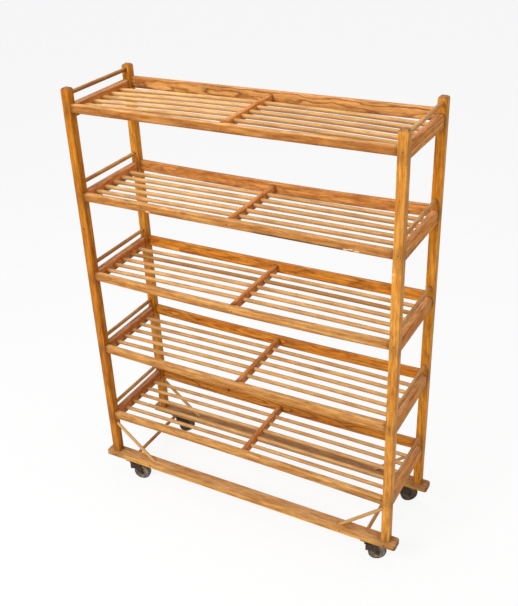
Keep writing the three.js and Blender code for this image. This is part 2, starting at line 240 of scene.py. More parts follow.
def stretchedNoise(tree, source, stretch, detail, roughness=0.55):
    scale = addNode(tree, "ShaderNodeMapping")
    scale.inputs["Scale"].default_value = stretch
    tree.links.new(source, scale.inputs["Vector"])
    grainNoise = addNode(tree, "ShaderNodeTexNoise", noise_dimensions="3D")
    grainNoise.inputs["Scale"].default_value = 1.0
    grainNoise.inputs["Detail"].default_value = detail
    grainNoise.inputs["Roughness"].default_value = roughness
    tree.links.new(scale.outputs["Vector"], grainNoise.inputs["Vector"])
    return grainNoise


def makeOak(name, look):
    material = bpy.data.materials.new(name)
    material.use_nodes = True
    tree = material.node_tree
    shader = tree.nodes["Principled BSDF"]
    grain = addNode(tree, "ShaderNodeAttribute", attribute_name="grain").outputs["Vector"]
    tone = addNode(tree, "ShaderNodeAttribute", attribute_name="tone").outputs["Fac"]
    grime = addNode(tree, "ShaderNodeAttribute", attribute_name="grime").outputs["Fac"]

    # growth rings, bent by a slow wander along the board
    wander = stretchedNoise(tree, grain, look["wanderScale"], 3)
    centred = addNode(tree, "ShaderNodeVectorMath", operation="SUBTRACT")
    centred.inputs[1].default_value = (0.5, 0.5, 0.5)
    tree.links.new(wander.outputs["Color"], centred.inputs[0])
    reach = addNode(tree, "ShaderNodeVectorMath", operation="MULTIPLY")
    reach.inputs[1].default_value = (0, look["wander"], look["wander"])
    tree.links.new(centred.outputs[0], reach.inputs[0])
    bent = addNode(tree, "ShaderNodeVectorMath", operation="ADD")
    tree.links.new(grain, bent.inputs[0])
    tree.links.new(reach.outputs[0], bent.inputs[1])
    rings = addNode(tree, "ShaderNodeTexWave", wave_type="RINGS", rings_direction="X", wave_profile="SAW")
    rings.inputs["Scale"].default_value = look["rings"]
    rings.inputs["Distortion"].default_value = 0.6
    rings.inputs["Detail"].default_value = 1.0
    tree.links.new(bent.outputs[0], rings.inputs["Vector"])
    early = shaped(tree, rings.outputs["Fac"], look["ringStops"])

    # streaks and pores that run with the grain, over broad patches of warmer wood
    streaks = stretchedNoise(tree, grain, (3.0, 150, 150), 4)
    streakMask = shaped(tree, streaks.outputs["Fac"], [(0.38, 0.0), (0.66, 1.0)])
    pores = stretchedNoise(tree, grain, (60, 1100, 1100), 2)
    poreMask = shaped(tree, pores.outputs["Fac"], [(0.55, 0.0), (0.66, 1.0)])
    clouds = stretchedNoise(tree, grain, (4.5, 26, 26), 3)
    cloudMask = shaped(tree, clouds.outputs["Fac"], [(0.34, 0.0), (0.64, 1.0)])

    color = mixColors(tree, calc(tree, "MULTIPLY", early, look["figure"]), look["light"], look["dark"])
    color = mixColors(tree, calc(tree, "MULTIPLY", streakMask, look["streaks"]), color, look["dark"])
    color = mixColors(tree, calc(tree, "MULTIPLY", cloudMask, look["clouds"]), color, look["amber"])
    poreShare = calc(tree, "MULTIPLY", poreMask, calc(tree, "ADD", early, 0.35))
    color = mixColors(tree, calc(tree, "MULTIPLY", poreShare, 0.5), color, look["pore"])
    if not look["toneOver"]:
        color = mixColors(tree, tone, color, look["aged"], "MULTIPLY")

    # handled tops have lost their varnish, and end grain drinks it. The paler upward-facing colour is wear together
    # with painted highlight on the tops; on the slats it is mostly painted light, a lit upper side over a shaded
    # underside
    normal = addNode(tree, "ShaderNodeNewGeometry").outputs["Normal"]
    parts = addNode(tree, "ShaderNodeSeparateXYZ")
    tree.links.new(normal, parts.inputs[0])
    up = shaped(tree, parts.outputs["Z"], look["wornAndLitFacing"])
    patchNoise = stretchedNoise(tree, grain, (11, 70, 70), 4, 0.65)
    patches = shaped(tree, patchNoise.outputs["Fac"], [(0.3, 0.35), (0.62, 1.0)])
    wearAndLightShare = calc(tree, "MULTIPLY", calc(tree, "MULTIPLY", up, patches), look["wearAndLight"])
    color = mixColors(tree, wearAndLightShare, color, look["wornAndLit"])
    if look["toneOver"]:
        color = mixColors(tree, tone, color, look["aged"], "MULTIPLY")
    if look["endAxis"]:
        facing = calc(tree, "ABSOLUTE", parts.outputs[look["endAxis"]])
        endShare = calc(tree, "MULTIPLY", shaped(tree, facing, look["endFacing"]), patches)
        color = mixColors(tree, endShare, color, look["endGrain"])

    # age has soaked in, in small spots and in broad patches
    for stretch, stops, share in (((16, 85, 85), [(0.42, 0.0), (0.7, 1.0)], look["mottle"]),
                                  ((5, 30, 30), [(0.42, 0.0), (0.6, 1.0)], look["patchy"])):
        spots = stretchedNoise(tree, grain, stretch, 5, 0.62)
        mask = shaped(tree, spots.outputs["Fac"], stops)
        color = mixColors(tree, calc(tree, "MULTIPLY", mask, share), color, look["soaked"], "MULTIPLY")

    # dirt gathers where pieces meet, with painted shade in the sockets of slats and rods and on faces round the slats
    dirtAndShadeNoise = stretchedNoise(tree, grain, (45, 90, 90), 4, 0.6)
    dirtAndShade = calc(tree, "MULTIPLY", grime, calc(tree, "ADD", dirtAndShadeNoise.outputs["Fac"], 0.35), True)
    color = mixColors(tree, dirtAndShade, color, look["dirtAndShade"])
    tree.links.new(color, shader.inputs["Base Color"])

    rough = calc(tree, "MULTIPLY", streaks.outputs["Fac"], 0.25)
    rough = calc(tree, "ADD", rough, look["roughness"])
    rough = calc(tree, "ADD", rough, calc(tree, "MULTIPLY", wearAndLightShare, 0.2))
    tree.links.new(rough, shader.inputs["Roughness"])
    shader.inputs["Specular IOR Level"].default_value = look["gloss"]
    bump = addNode(tree, "ShaderNodeBump")
    bump.inputs["Strength"].default_value = 0.35
    bump.inputs["Distance"].default_value = 0.0003
    relief = calc(tree, "SUBTRACT", calc(tree, "MULTIPLY", streaks.outputs["Fac"], 0.6), poreShare)
    tree.links.new(relief, bump.inputs["Height"])
    tree.links.new(bump.outputs[0], shader.inputs["Normal"])
    return material


oakLook = {
    "light": (0.66, 0.31, 0.075),
    "dark": (0.36, 0.12, 0.018),
    "amber": (0.56, 0.21, 0.028),
    "pore": (0.13, 0.045, 0.010),
    "aged": (0.47, 0.40, 0.35),
    "toneOver": False,  # whether the worn and painted-lit top has darkened as well
    "wornAndLit": (0.62, 0.34, 0.15),
    "endGrain": (0.25, 0.115, 0.045),
    "endAxis": None,
    "endFacing": [(0.35, 0.0), (0.9, 1.0)],
    "dirtAndShade": (0.085, 0.027, 0.006),
    "rings": 44.0,  # about 7 mm from ring to ring
    "ringStops": [(0.0, 1.0), (0.2, 0.55), (0.5, 0.1), (0.86, 0.0), (1.0, 0.75)],
    "soaked": (0.58, 0.44, 0.32),
    "mottle": 0.9,
    "patchy": 0.45,
    "wornAndLitFacing": [(0.5, 0.0), (0.9, 1.0)],
    "wander": 0.03,
    "wanderScale": (1.6, 14, 14),
    "figure": 0.5,
    "streaks": 0.75,
    "clouds": 0.55,
    "wearAndLight": 0.4,
    "roughness": 0.36,
    "gloss": 0.16,
}


# posts

postLook = {**oakLook, "light": (0.92, 0.48, 0.10), "dark": (0.55, 0.205, 0.03), "amber": (0.84, 0.335, 0.035),
            "figure": 0.45, "wearAndLight": 0.0, "endAxis": "Z", "endFacing": [(0.12, 0.0), (0.6, 1.0)],
            "endGrain": (0.23, 0.125, 0.065), "gloss": 0.1}
deepPostLook = {**postLook, "light": (0.94, 0.45, 0.05), "dark": (0.57, 0.19, 0.0135), "amber": (0.87, 0.31, 0.0145),
                "aged": (0.42, 0.28, 0.16)}
postShape = {
    "edgeRound": 0.0025,
    "topRound": 0.012,
    "topSteps": (0.12, 0.25, 0.4, 0.55, 0.72, 0.88),
    "crown": 0.15,
    "hearts": {"front_left": (0.05, 0.09), "front_right": (-0.03, 0.11),
               "back_left": (0.08, 0.02), "back_right": (0.02, 0.07)},
    "tones": {"front_left": 0.52, "front_right": 0.0, "back_left": 0.14, "back_right": 0.1},
    "stain": 0.022,
}


def makePost(corner):
    low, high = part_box(f"post_{corner}")
    drop = postShape["topRound"]
    half = (high.x - low.x) / 2
    bm = boxBetween(low, Vector((high.x, high.y, high.z - drop)))
    cutAlong(bm, axisZ, 40)
    centre = (low + high) / 2
    roundEdges(bm, edgesAlong(bm, axisZ, lambda m: abs(abs(m.x - centre.x) - half) < 1e-4
                              and abs(abs(m.y - centre.y) - half) < 1e-4),
               postShape["edgeRound"], 3)
    top = max(bm.faces, key=lambda face: face.calc_center_median().z)
    middle = top.calc_center_median()
    lastScale = 1.0
    for t in postShape["topSteps"]:  # each ring of the dome is drawn in and lifted a little more
        grown = bmesh.ops.extrude_face_region(bm, geom=[top])["geom"]
        verts = [item for item in grown if isinstance(item, bmesh.types.BMVert)]
        bmesh.ops.delete(bm, geom=[top], context="FACES_ONLY")
        top = [item for item in grown if isinstance(item, bmesh.types.BMFace)][0]
        scale = 1 - t * t
        height = high.z - drop * (1 - t) ** 2 - 2 * postShape["crown"] * drop * t * (1 - t)
        bmesh.ops.scale(bm, vec=(scale / lastScale, scale / lastScale, 1), verts=verts,
                        space=Matrix.Translation(-middle))
        bmesh.ops.translate(bm, vec=(0, 0, height - verts[0].co.z), verts=verts)
        lastScale = scale
    unevenly(bm, axisZ, 0.0007, corners.index(corner) * 3.1)
    name = "post" + corner.title().replace("_", "")
    wood = postOak if corner == "front_right" else deepPostOak
    piece = finishPiece(name, bm, wood, "frame", [f"post_{corner}"], smoothBelow=55)
    joints = [(low.z + high.z) / 2 for low, high in railBoxes(corner)]
    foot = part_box("sill_front")[1].z
    layGrain(piece, axisZ, axisX, postShape["tones"][corner], corner, postShape["hearts"][corner],
             (0.012, 0.018), lambda p: 0.55 * nearness(p.z, joints + [foot], postShape["stain"] * 2))


def railBoxes(corner):
    end = corner.split("_")[0]
    return [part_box(f"shelf{shelf}_{end}_rail") for shelf in range(1, shelfCount + 1)]


postOak = makeOak("postOak", postLook)
deepPostOak = makeOak("deepPostOak", deepPostLook)
for corner in corners:
    makePost(corner)
print("posts made")


# sills

sillLook = {**oakLook, "light": (0.92, 0.51, 0.135), "dark": (0.53, 0.225, 0.046), "amber": (0.79, 0.385, 0.07),
            "wearAndLight": 0.85, "wornAndLit": (0.72, 0.41, 0.195), "roughness": 0.42, "endAxis": "X",
            "endFacing": [(0.1, 0.0), (0.6, 1.0)], "endGrain": (0.20, 0.085, 0.032), "rings": 36.0}
# the back sill's darker top is dust together with painted shade from the shelves above
dustyShadedSillLook = {**sillLook, "wornAndLit": (0.62, 0.36, 0.20)}
sillShape = {
    "cornerRound": 0.011,
    "topRound": 0.003,
    "bottomRound": 0.0015,
    "planed": 0.0009,
    "dust": {"front": 0.0, "back": 0.4},  # dust fallen through the shelves onto the top, with painted shade from the shelves above
    "dustAndShadeReach": (0.5, 0.58),  # from the middle, where it thins out
}


def makeSill(end):
    low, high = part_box(f"sill_{end}")
    planed = axisY * sillShape["planed"]
    bm = boxBetween(low + planed, high - planed)
    cutAlong(bm, axisX, 40)
    postFaces = [x for corner in ("left", "right") for x in sillSeats(end, corner)]
    roundEdges(bm, edgesAlong(bm, axisZ, lambda m: m.x in (low.x, high.x)), sillShape["cornerRound"], 6)
    roundEdges(bm, sharpEdges(bm, lambda co: abs(co.z - high.z) < 1e-6), sillShape["topRound"], 3)
    roundEdges(bm, sharpEdges(bm, lambda co: abs(co.z - low.z) < 1e-6), sillShape["bottomRound"], 2)
    unevenly(bm, axisX, 0.0006, 7.0 if end == "front" else 11.0)
    wood = sillOak if end == "front" else dustyShadedSillOak
    piece = finishPiece("sill" + end.title(), bm, wood, "frame", [f"sill_{end}"])
    near, far = sillShape["dustAndShadeReach"]

    def dirtAndShadeAt(p):
        upper = max(0.0, 1 - (high.z - p.z) / sillShape["topRound"])
        inside = min(1.0, max(0.0, (far - abs(p.x)) / (far - near)))
        return max(0.45 * nearness(p.x, postFaces, 0.05), sillShape["dust"][end] * upper * inside)

    layGrain(piece, axisX, axisY, 0.06, "sill" + end, (0.01, -0.09), (0.004, 0.015), dirtAndShadeAt)


def sillSeats(end, side):
    low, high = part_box(f"post_{end}_{side}")
    return low.x, high.x


sillOak = makeOak("sillOak", sillLook)
dustyShadedSillOak = makeOak("dustyShadedSillOak", dustyShadedSillLook)
for end in ("front", "back"):
    makeSill(end)
print("sills made")


# shelf rails

frontRailLook = {**oakLook, "light": (0.86, 0.49, 0.155), "dark": (0.48, 0.21, 0.044), "wearAndLight": 0.75,
                 "wornAndLit": (0.84, 0.50, 0.21), "aged": (0.52, 0.32, 0.15),
                 "amber": (0.65, 0.26, 0.042), "patchy": 0.5}
backRailLook = {**oakLook, "light": (0.97, 0.42, 0.046), "dark": (0.38, 0.11, 0.009), "amber": (0.85, 0.285, 0.015), "patchy": 0.5,
                "figure": 0.9, "rings": 36.0, "wander": 0.05, "wanderScale": (3.2, 12, 12)}
rosyRailLook = {**backRailLook, "light": (0.85, 0.38, 0.10), "dark": (0.36, 0.12, 0.027), "amber": (0.75, 0.30, 0.056)}
flameLook = {**backRailLook, "light": (0.88, 0.45, 0.14), "dark": (0.26, 0.072, 0.015), "amber": (0.76, 0.32, 0.065),
             "figure": 1.0, "clouds": 0.4, "streaks": 0.5, "mottle": 0.5,
             "ringStops": [(0.0, 1.0), (0.14, 0.75), (0.36, 0.12), (0.8, 0.0), (1.0, 0.7)]}
lowFlameLook = {**flameLook, "light": (0.99, 0.43, 0.05), "dark": (0.30, 0.08, 0.008), "amber": (0.87, 0.30, 0.02)}
sideRailLook = {**oakLook, "light": (0.90, 0.36, 0.08), "dark": (0.48, 0.13, 0.02), "amber": (0.80, 0.255, 0.04),
                "wearAndLight": 0.85, "wornAndLit": (0.86, 0.49, 0.275), "roughness": 0.42,
                "wornAndLitFacing": [(0.1, 0.0), (0.65, 1.0)]}
rightRailLook = {**sideRailLook, "light": (0.97, 0.48, 0.10), "dark": (0.54, 0.175, 0.027), "amber": (0.92, 0.345, 0.045),
                 "figure": 0.8, "streaks": 0.95, "patchy": 0.4, "wearAndLight": 0.6, "gloss": 0.1,
                 "wornAndLitFacing": oakLook["wornAndLitFacing"]}
railShape = {
    "front_rail": {"topRound": 0.005, "backRound": 0.002, "heart": (0.10, -0.02), "tone": 0.02},
    "back_rail": {"topRound": 0.005, "backRound": 0.005, "heart": (0.05, 0.004), "tone": 0.03},
    "left_rail": {"topRound": 0.008, "backRound": 0.008, "heart": (0.08, 0.015), "tone": 0.08},
    "right_rail": {"topRound": 0.008, "backRound": 0.008, "heart": (-0.07, 0.01), "tone": 0.0},
}
railEdge = 0.0015
railLowBand = 0.009  # a darker band along the bottom reaches this far up a face
railSeam = (0.004, 0.016)  # where the dirt at a joint thins out
railStains = {"shelf4_front_rail": (0.1, 0.46)}  # a dark stain along the underside, from x to x
railTones = {  # boards that have darkened more
    "shelf1_back_rail": 0.27, "shelf2_back_rail": 0.0, "shelf3_front_rail": 0.06, "shelf4_front_rail": 0.3,
    "shelf5_front_rail": 0.55, "shelf2_right_rail": 0.1, "shelf1_left_rail": 0.1, "shelf2_left_rail": 0.14,
    "shelf3_left_rail": 0.06, "shelf5_left_rail": 0.25,
}
slatPlaces = (-0.11, -0.055, 0.0, 0.055, 0.11)
slatDirtAndShade = 0.021  # dirt and painted shade on a board round each slat that enters it
railBows = {  # height off true at the left or front end, in the middle, and at the right or back end
    "shelf1_front_rail": (0.006, 0.008, -0.004),
    "shelf2_front_rail": (0.004, -0.005, 0.002),
    "shelf3_front_rail": (0.003, -0.006, 0.003),
    "shelf4_front_rail": (-0.001, 0.0, 0.0),
    "shelf5_front_rail": (0.0, 0.001, 0.003),
    "shelf1_back_rail": (-0.002, -0.007, 0.001),
    "shelf2_back_rail": (0.003, -0.005, 0.0),
    "shelf3_back_rail": (0.001, -0.001, 0.003),
    "shelf4_back_rail": (0.001, -0.006, 0.005),
    "shelf5_back_rail": (0.003, 0.005, 0.008),
    "shelf1_left_rail": (0.0, 0.0025, 0.005),
    "shelf2_left_rail": (0.001, 0.003, 0.005),
    "shelf3_left_rail": (-0.001, 0.0025, 0.006),
    "shelf4_left_rail": (-0.004, -0.0015, 0.001),
    "shelf5_left_rail": (-0.006, -0.003, 0.0),
    "shelf1_right_rail": (-0.004, -0.004, -0.0035),
    "shelf2_right_rail": (-0.005, -0.0035, -0.002),
    "shelf3_right_rail": (0.0, -0.0005, -0.001),
    "shelf4_right_rail": (0.0015, 0.001, 0.001),
    "shelf5_right_rail": (0.003, 0.0025, 0.002),
}


def boardShape(low, high, axis, across, topRounds, seam):
    bm = boxBetween(low, high)
    cutAlong(bm, axis, 20)
    cutAt(bm, axis, [sign * (seam - gap) for gap in railSeam for sign in (-1, 1)])
    cutAt(bm, axisZ, [low.z + railLowBand])
    middle = ((low + high) / 2).dot(across)

    def edgesAt(z, side):
        return edgesAlong(bm, axis, lambda m: abs(m.z - z) < 1e-6 and side * (m.dot(across) - middle) > 0.004)

    for side, radius in zip((-1, 1), topRounds):
        roundEdges(bm, edgesAt(high.z, side), radius, 5)
        roundEdges(bm, edgesAt(low.z, side), railEdge, 2)
    return bm


def makeRail(shelf, place, material):
    node = f"shelf{shelf}_{place}"
    shape = railShape[place]
    low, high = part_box(node)
    isSide = "left" in place or "right" in place
    axis, across = (axisY, axisX) if isSide else (axisX, axisY)
    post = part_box("post_back_right")[0]
    seam = post.y if isSide else post.x
    bm = boardShape(low, high, axis, across, (shape["topRound"], shape["backRound"]), seam)
    unevenly(bm, axis, 0.0007, shelf * 2.3 + len(place))
    if node in railBows:
        bend(bm, railBows[node], axis, high.dot(axis))
    words = place.split("_")
    piece = finishPiece(f"shelf{shelf}{words[0].title()}Rail", bm, material, "frame", [node])
    spread = random.Random(node)
    heart = (shape["heart"][0] + spread.uniform(-0.015, 0.015), shape["heart"][1] + spread.uniform(-0.01, 0.01))
    lean = (spread.uniform(-0.03, 0.03), spread.uniform(-0.01, 0.01))
    lowEdge = min(vert.co.z for vert in piece.data.vertices if abs(vert.co.dot(axis)) < 0.1)
    start, end = railStains.get(node, (0.0, 0.0))
    inner = abs(low.x + high.x) / 2

    def grimeAndShadeAt(p):
        atSeam = 0.8 * nearness(abs(p.dot(axis)), [seam], railSeam[1])
        # darker towards the bottom edge of each rail
        under = 0.35 if p.z < lowEdge + 0.6 * railLowBand else 0.0
        stained = 1.4 if start < p.x < end and under else 0.0
        # dirt and the slats' painted shade on a side rail's inner face
        roundSlats = 0.0
        if isSide and abs(p.x) < inner and p.z < lowEdge + 0.03:
            roundSlats = nearness(p.y, slatPlaces, slatDirtAndShade)
        return max(atSeam, under, stained, roundSlats)

    tone = shape["tone"] + spread.uniform(0, 0.12) + railTones.get(node, 0.0)
    layGrain(piece, axis, across, tone, node, heart, lean, grimeAndShadeAt)


frontRailOak = makeOak("frontRailOak", frontRailLook)
backRailOak = makeOak("backRailOak", backRailLook)
rosyRailOak = makeOak("rosyRailOak", rosyRailLook)
flameOak = makeOak("flameOak", flameLook)
lowFlameOak = makeOak("lowFlameOak", lowFlameLook)
backOaks = {1: lowFlameOak, 4: rosyRailOak, 5: flameOak}
sideRailOak = makeOak("sideRailOak", sideRailLook)
rightRailOak = makeOak("rightRailOak", rightRailLook)
for shelf in range(1, shelfCount + 1):
    makeRail(shelf, "front_rail", frontRailOak)
    makeRail(shelf, "back_rail", backOaks.get(shelf, backRailOak))
    makeRail(shelf, "left_rail", sideRailOak)
    makeRail(shelf, "right_rail", rightRailOak)
print("rails made")


# slats and dividers

# painted light: the slats' upper side takes the pale colour and the rest stays dark brown, a lit top over a shaded
# underside
slatLook = {**oakLook, "light": (0.52, 0.245, 0.065), "dark": (0.27, 0.10, 0.02), "amber": (0.44, 0.185, 0.038),
            "figure": 0.3, "wearAndLight": 0.95, "wornAndLit": (0.82, 0.505, 0.21), "gloss": 0.25, "mottle": 0.5, "patchy": 0.2,
            "wornAndLitFacing": [(0.0, 0.4), (0.45, 1.0)], "aged": (0.50, 0.38, 0.17), "toneOver": True,
            "dirtAndShade": (0.36, 0.115, 0.022)}
dividerLook = {**sideRailLook, "wornAndLit": (0.70, 0.325, 0.115)}
slatShape = {
    "radius": 0.008,
    "rise": 0.011,  # above the underside of the front rail
    "seam": (0.003, 0.014),
    "bows": {1: (-0.004, -0.001, -0.007), 2: (-0.003, 0.002, -0.004), 3: (-0.004, 0.004, 0.002),
             4: (-0.003, 0.001, 0.003), 5: (-0.007, 0.0075, -0.002)},
    "rightShadeTones": {3: 0.1, 4: 0.24, 5: 0.28},  # painted shade: the right half of a shelf is darker, standing in for the sheen the left half catches
    "darkDowel": (3, 3),  # one replaced dowel of darker wood: its shelf, and its place from the front
}
dividerShape = {"halfWidth": 0.01, "topRound": 0.008, "seam": 0.022}


def makeShelf(shelf):
    node = f"shelf{shelf}_slats"
    low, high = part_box(node)
    spread = random.Random(node)
    bow = slatShape["bows"][shelf]
    half = dividerShape["halfWidth"]
    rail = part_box(f"shelf{shelf}_right_rail")[0]
    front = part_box(f"shelf{shelf}_front_rail")[0]
    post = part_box("post_back_right")[0]

    bm = boardShape(Vector((-half, low.y, low.z)), Vector((half, high.y, high.z)), axisY, axisX,
                    [dividerShape["topRound"]] * 2, post.y)
    unevenly(bm, axisY, 0.0005, shelf * 1.7)
    bend(bm, bow, axisX, high.x)
    divider = finishPiece(f"shelf{shelf}Divider", bm, dividerOak, "frame", [node])
    topEdge = high.z + min(bow) - dividerShape["topRound"] / 2
    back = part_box(f"shelf{shelf}_back_rail")[0]

    # dirt and painted shade at the divider's ends, where it meets the rails, and round each slat below its top
    def dirtAndShadeAt(p):
        atEnd = 0.9 * nearness(abs(p.y), [back.y], dividerShape["seam"])
        return max(atEnd, 0.8 * nearness(p.y, slatPlaces, slatDirtAndShade) if p.z < topEdge else 0.0)

    layGrain(divider, axisY, axisX, spread.uniform(0.05, 0.2), node + "divider", (0.06, 0.02), (0.02, 0.01), dirtAndShadeAt)

    dirtyAndShaded = [(rail.x, 0.9), (half, 0.4)]  # dirt and painted shade where the slats enter the side rails and the divider
    for index, y in enumerate(slatPlaces):
        z = front.z + slatShape["rise"]
        bm = roundBar(Vector((low.x, y, z)), Vector((high.x, y, z)), slatShape["radius"], cuts=20)
        near, far = slatShape["seam"]
        cutAt(bm, axisX, [sign * place for place in (rail.x - near, rail.x - far, half + near, half + far)
                          for sign in (-1, 1)])
        unevenly(bm, axisX, 0.0005, shelf * 5.3 + index)
        bend(bm, bow, axisX, high.x)
        slat = finishPiece(f"shelf{shelf}Slat{index + 1}", bm, slatOak, "frame")
        tone = spread.uniform(0.0, 0.2)
        if (shelf, index) == slatShape["darkDowel"]:
            tone = 0.7
        # painted shade on the right half of the slats
        more = slatShape["rightShadeTones"].get(shelf, 0.0)
        layGrain(slat, axisX, axisY, lambda p: tone + (more if p.x > 0 else 0.0), f"{node}{index}",
                 (0.03, spread.uniform(-0.05, 0.05)), (0.01, 0.008),
                 lambda p: max(share * nearness(abs(p.x), [place], far) for place, share in dirtyAndShaded))


slatOak = makeOak("slatOak", slatLook)
dividerOak = makeOak("dividerOak", dividerLook)
for shelf in range(1, shelfCount + 1):
    makeShelf(shelf)
print("slats and dividers made")


# guard rods, stretchers and braces

rodLook = {**oakLook, "light": (0.68, 0.345, 0.098), "dark": (0.41, 0.165, 0.035), "amber": (0.56, 0.24, 0.047),
           "figure": 0.25, "wearAndLight": 0.5, "wornAndLit": (0.70, 0.42, 0.185)}
braceLook = {**slatLook, "light": (0.78, 0.45, 0.17), "dark": (0.52, 0.25, 0.07), "amber": (0.70, 0.37, 0.12)}
rodShape = {"radius": 0.008, "tilt": 0.004, "seam": (0.003, 0.012),
            "tones": {"shelf5_left_rod": 0.7, "shelf2_left_rod": 0.15}}
stretcherRadius = 0.0075
braceShape = {"radius": 0.007, "rise": 0.152, "reach": 0.177, "socket": 0.009,
              "tone": 0.18, "tones": {"front_right": 0.4}}


def makeCrossRod(node, name, radius, tilt):
    low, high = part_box(node)
    x, z = (low.x + high.x) / 2, (low.z + high.z) / 2
    bm = roundBar(Vector((x, low.y, z - tilt / 2)), Vector((x, high.y, z + tilt / 2)), radius)
    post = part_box("post_back_right")[0]
    near, far = rodShape["seam"]
    cutAt(bm, axisY, [sign * (post.y - gap) for gap in (near, far) for sign in (-1, 1)])
    unevenly(bm, axisY, 0.0006, x * 3 + z * 7)
    piece = finishPiece(name, bm, rodOak, "frame", [node])
    spread = random.Random(node)
    tone = spread.uniform(0.0, 0.12) + rodShape["tones"].get(node, 0.0)
    # dirt and painted shade in the sockets where the rod enters the posts
    layGrain(piece, axisY, axisX, tone, node, (0.04, 0.03), (0.01, 0.01),
             lambda p: 0.7 * nearness(abs(p.y), [post.y], far))


def makeBrace(corner):
    postLow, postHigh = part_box(f"post_{corner}")
    side = -1 if "left" in corner else 1
    face = postHigh.x if side < 0 else postLow.x
    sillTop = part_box("sill_front")[1].z
    y = (postLow.y + postHigh.y) / 2
    head = Vector((face, y, sillTop + braceShape["rise"]))
    foot = Vector((face - side * braceShape["reach"], y, sillTop))
    run = (head - foot).normalized()
    bm = roundBar(foot - run * braceShape["socket"], head + run * braceShape["socket"], braceShape["radius"])
    unevenly(bm, run, 0.0006, side * 4.1 + y * 9)
    name = "brace" + corner.title().replace("_", "")
    piece = finishPiece(name, bm, braceOak, "frame", [f"brace_{corner}"])
    tone = braceShape["tones"].get(corner, braceShape["tone"])
    layGrain(piece, run, axisY, tone, "brace" + corner, (0.03, 0.03), (0.01, 0.0))


rodOak = makeOak("rodOak", rodLook)
braceOak = makeOak("braceOak", braceLook)
for shelf in range(1, shelfCount + 1):
    for side in ("left", "right"):
        makeCrossRod(f"shelf{shelf}_{side}_rod", f"shelf{shelf}{side.title()}Rod",
                     rodShape["radius"], rodShape["tilt"])
for side in ("left", "right"):
    makeCrossRod(f"stretcher_{side}", f"stretcher{side.title()}", stretcherRadius, 0.0)
for corner in corners:
    makeBrace(corner)
print("rods, stretchers and braces made")


# pegs, plugs and knots in the front faces

markShape = {
    "peg": {"radius": 0.0032, "proud": 0.0004, "slot": "post_wood"},
    "screw": {"radius": 0.0026, "proud": 0.0003, "slot": "front_rail_wood"},
    "plug": {"radius": 0.0042, "proud": 0.0003, "slot": "sill_wood"},
    "knot": {"radius": 0.0052, "proud": 0.0002, "slot": "post_wood"},
    "railKnot": {"radius": 0.0075, "proud": 0.0002, "slot": "back_rail_wood"},
    "chip": {"radius": 0.003, "proud": 0.0002, "slot": "front_rail_wood", "stretch": 4.0},
    "scuff": {"radius": 0.0045, "proud": 0.0003, "slot": "post_wood"},
}
pegRise = 0.019  # above the underside of a front rail
markLook = {"peg": ((0.16, 0.06, 0.02), (0.30, 0.12, 0.04)), "screw": ((0.045, 0.025, 0.015), (0.12, 0.06, 0.03)),
            "plug": ((0.10, 0.04, 0.015), (0.22, 0.09, 0.03)), "knot": ((0.11, 0.04, 0.014), (0.24, 0.09, 0.028)),
            "railKnot": ((0.06, 0.02, 0.008), (0.16, 0.055, 0.018)), "chip": ((0.62, 0.40, 0.19), (0.86, 0.66, 0.40)),
            "scuff": ((0.78, 0.44, 0.24), (0.92, 0.64, 0.42))}


def makeMarkWood(name, dark, pale):
    material = bpy.data.materials.new(name)
    material.use_nodes = True
    tree = material.node_tree
    shader = tree.nodes["Principled BSDF"]
    place = addNode(tree, "ShaderNodeTexCoord").outputs["Object"]
    speckle = stretchedNoise(tree, place, (500, 500, 500), 3)
    mask = shaped(tree, speckle.outputs["Fac"], [(0.4, 0.0), (0.65, 1.0)])
    tree.links.new(mixColors(tree, mask, dark, pale), shader.inputs["Base Color"])
    shader.inputs["Roughness"].default_value = 0.6
    shader.inputs["Specular IOR Level"].default_value = 0.2
    return material


def makeMarks(name, kind, places):
    shape = markShape[kind]
    bm = bmesh.new()
    for place in places:
        r, h = shape["radius"], shape["proud"]
        profile = [(0, -h, 0), (0.55 * r, -h, 0), (0.85 * r, -0.6 * h, 0), (r, 0.0006, 0), (r, 0.004, 0)]
        dot = turnedShape([Vector(point) for point in profile], axisY, 20)
        bmesh.ops.scale(dot, vec=(shape.get("stretch", 1.0), 1, 1), verts=dot.verts)
        bmesh.ops.translate(dot, vec=place, verts=dot.verts)
        addShape(bm, dot)
    finishPiece(name, bm, markOak[kind], "frame")


markOak = {kind: makeMarkWood(kind + "Wood", *colors) for kind, colors in markLook.items()}
for corner in ("front_left", "front_right"):
    low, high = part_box(f"post_{corner}")
    heights = [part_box(f"shelf{shelf}_front_rail")[0].z + pegRise for shelf in range(1, shelfCount + 1)]
    makeMarks("pegs" + corner.title().replace("_", ""), "peg",
              [Vector(((low.x + high.x) / 2 + 0.001, low.y, z)) for z in heights])
screwPlaces = []
for shelf in range(1, shelfCount + 1):
    low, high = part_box(f"shelf{shelf}_front_rail")
    bow = railBows[f"shelf{shelf}_front_rail"]
    screwPlaces.append(Vector((0.006, low.y, low.z + 0.013 + bow[1])))
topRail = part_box("shelf5_front_rail")[0]
screwPlaces.append(Vector((0.36, topRail.y, topRail.z + 0.007)))
makeMarks("dividerScrews", "screw", screwPlaces)
sillLow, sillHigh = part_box("sill_front")
sillMiddle = (sillLow.z + sillHigh.z) / 2
makeMarks("sillPlugs", "plug", [Vector((x, sillLow.y + sillShape["planed"], sillMiddle)) for x in (-0.648, -0.46, 0.46, 0.648)])
postLow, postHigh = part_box("post_front_left")
makeMarks("postKnot", "knot", [Vector(((postLow.x + postHigh.x) / 2, postLow.y, sillHigh.z + 1.106))])
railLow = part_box("shelf1_back_rail")[0]
makeMarks("railKnot", "railKnot", [Vector((-0.266, railLow.y, sillHigh.z + 0.207))])
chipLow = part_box("shelf4_front_rail")[0]
